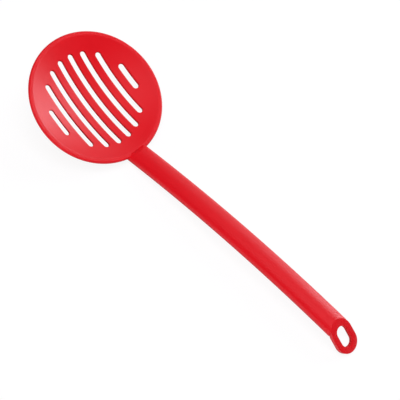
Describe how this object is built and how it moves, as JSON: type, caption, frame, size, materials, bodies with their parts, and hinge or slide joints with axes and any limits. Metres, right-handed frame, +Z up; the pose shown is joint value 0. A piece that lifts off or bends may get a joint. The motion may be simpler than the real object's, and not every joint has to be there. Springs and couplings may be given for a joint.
{
  "type": "slotted skimmer",
  "caption": "Kitchen skimmer with a shallow round slotted bowl, a long curved oval grip and a flat hang loop, for lifting food out of liquid and letting it drain.",
  "frame": {"origin": "on the table, under the middle of the skimmer's bounding box", "axes": "+X along the grip from the bowl to the hang loop, +Y across the grip, +Z up; the skimmer lies on a table with the bowl's hollow up, on the neck's flat underside and the loop's tip"},
  "size_m": [0.3438, 0.115, 0.0497],
  "materials": {
    "red_plastic": "satin moulded red nylon"
  },
  "bodies": {
    "root": {"slotted_head": "red_plastic", "grip_upper_shell": "red_plastic", "grip_lower_shell": "red_plastic", "hang_loop": "red_plastic"}
  },
  "joints": []
}
